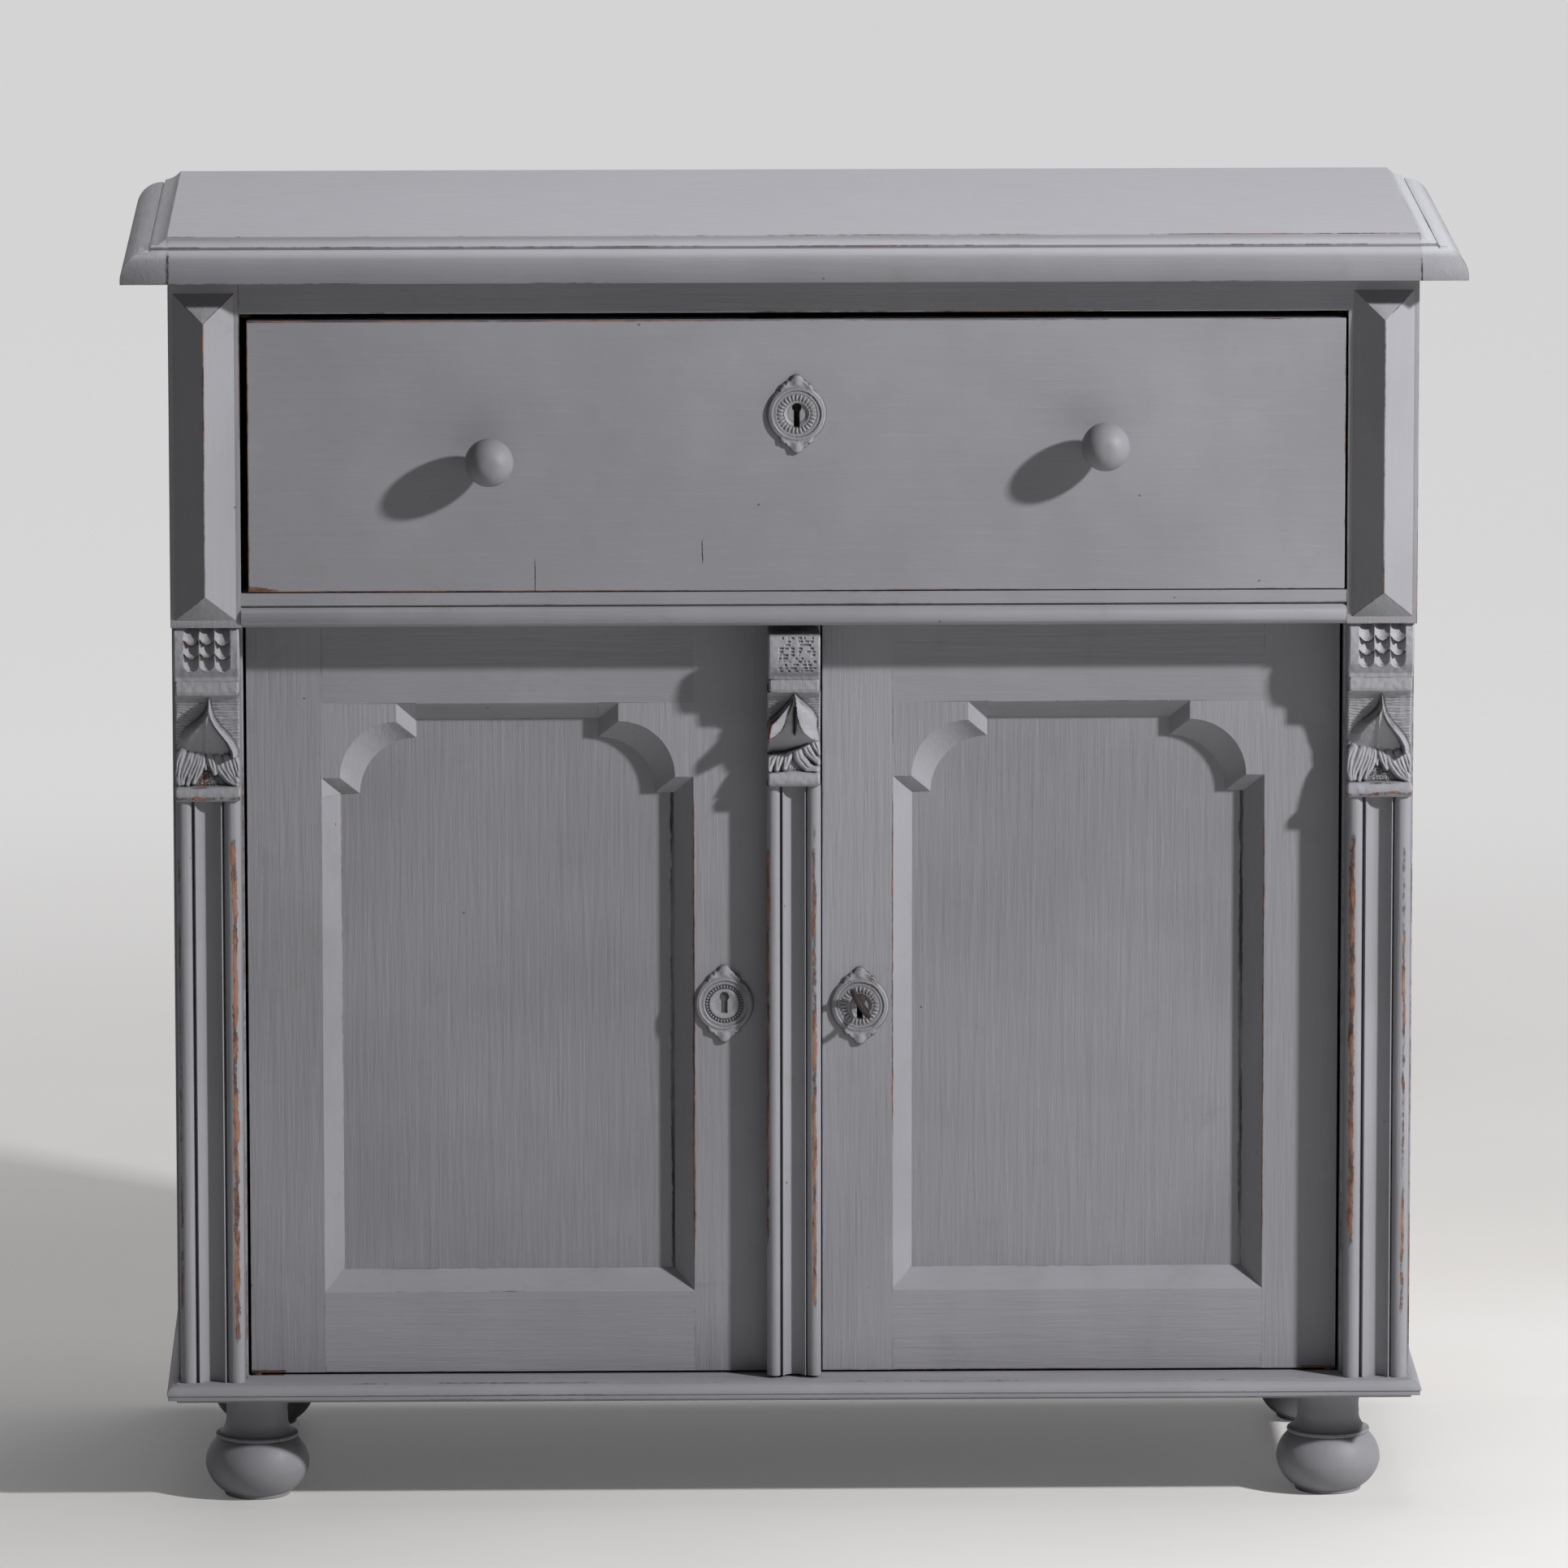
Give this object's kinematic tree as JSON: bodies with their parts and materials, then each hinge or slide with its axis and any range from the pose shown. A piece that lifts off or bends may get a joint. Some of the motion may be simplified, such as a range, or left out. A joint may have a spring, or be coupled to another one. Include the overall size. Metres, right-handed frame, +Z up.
{
  "type": "two-door cabinet with a long drawer",
  "caption": "Painted pine sideboard cabinet: long drawer over panelled doors, carved pilasters, moulded top and turned bun feet.",
  "frame": {"origin": "centre of the footprint on the floor, halfway between the side ends of the top and between the knobs' front and the back of the top", "axes": "+Z up, +X to the right as seen from the front, the front faces -Y"},
  "size_m": [1.08, 0.4654, 1.051],
  "materials": {
    "painted_pine": "old grey paint, satin, worn",
    "bare_pine": "old bare pine",
    "iron": "dark old iron",
    "painted_metal": "painted over"
  },
  "bodies": {
    "casing": {"top_board": "painted_pine", "top_cleat_left": "painted_pine", "top_cleat_right": "painted_pine", "side_panel_left": "painted_pine", "side_panel_right": "painted_pine", "back_boards": "bare_pine", "front_post_left": "painted_pine", "front_post_right": "painted_pine", "diamond_block_left": "painted_pine", "diamond_block_right": "painted_pine", "pilaster_shaft_left": "painted_pine", "pilaster_shaft_right": "painted_pine", "capital_left": "painted_pine", "capital_right": "painted_pine", "top_rail": "painted_pine", "mid_rail": "painted_pine", "base_moulding_front": "painted_pine", "base_moulding_sides": "painted_pine", "bottom_board": "bare_pine", "foot_front_left": "painted_pine", "foot_front_right": "painted_pine", "foot_back_left": "painted_pine", "foot_back_right": "painted_pine", "shelf": "bare_pine", "shelf_battens": "bare_pine", "drawer_runners": "bare_pine", "carcass_pivot_plates": "iron"},
    "drawer": {"drawer_front": "painted_pine", "drawer_side_left": "bare_pine", "drawer_side_right": "bare_pine", "drawer_back": "bare_pine", "drawer_bottom": "bare_pine", "knob_left": "painted_pine", "knob_right": "painted_pine", "drawer_escutcheon": "painted_metal", "drawer_lock": "iron"},
    "drawer_bolt": {"drawer_lock_bolt": "iron"},
    "left_door": {"left_door_hinge_stile": "painted_pine", "left_door_meeting_stile": "painted_pine", "left_door_top_rail": "painted_pine", "left_door_bottom_rail": "painted_pine", "left_door_panel": "painted_pine", "left_door_corner_blocks": "painted_pine", "left_door_escutcheon": "painted_metal", "left_door_pivot_sockets": "iron", "centre_pilaster_shaft": "painted_pine", "centre_capital": "painted_pine", "left_door_bolt_plate": "iron"},
    "left_bolt": {"left_door_bolt": "iron"},
    "right_door": {"right_door_hinge_stile": "painted_pine", "right_door_meeting_stile": "painted_pine", "right_door_top_rail": "painted_pine", "right_door_bottom_rail": "painted_pine", "right_door_panel": "painted_pine", "right_door_corner_blocks": "painted_pine", "right_door_escutcheon": "painted_metal", "right_door_pivot_sockets": "iron", "right_door_lock": "iron"},
    "right_bolt": {"right_door_lock_bolt": "iron"},
    "key": {"right_door_key": "iron"}
  },
  "joints": [
    {"name": "drawer_slide", "type": "slide", "parent": "casing", "child": "drawer", "axis": [0, -1, 0], "range_m": [0, 0.33]},
    {"name": "drawer_bolt_slide", "type": "slide", "parent": "drawer", "child": "drawer_bolt", "axis": [0, 0, 1], "range_m": [0, 0.012]},
    {"name": "left_door_hinge", "type": "hinge", "parent": "casing", "child": "left_door", "pos_m": [-0.439, -0.13275, 0.108], "axis": [0, 0, -1], "range_deg": [0, 90]},
    {"name": "left_door_bolt_slide", "type": "slide", "parent": "left_door", "child": "left_bolt", "axis": [0, 0, 1], "range_m": [0, 0.012]},
    {"name": "right_door_hinge", "type": "hinge", "parent": "casing", "child": "right_door", "pos_m": [0.439, -0.13275, 0.108], "axis": [0, 0, 1], "range_deg": [0, 90]},
    {"name": "key_turn", "type": "hinge", "parent": "right_door", "child": "key", "pos_m": [0.054, -0.13725, 0.417], "axis": [0, -1, 0], "range_deg": [-33, 100]},
    {"name": "right_door_bolt_slide", "type": "slide", "parent": "right_door", "child": "right_bolt", "axis": [-1, 0, 0], "range_m": [-0.0036, 0.0109]}
  ],
  "couplings": [
    {"joint": "key_turn", "follows": "right_door_bolt_slide", "rad_per_m": 158.7}
  ]
}
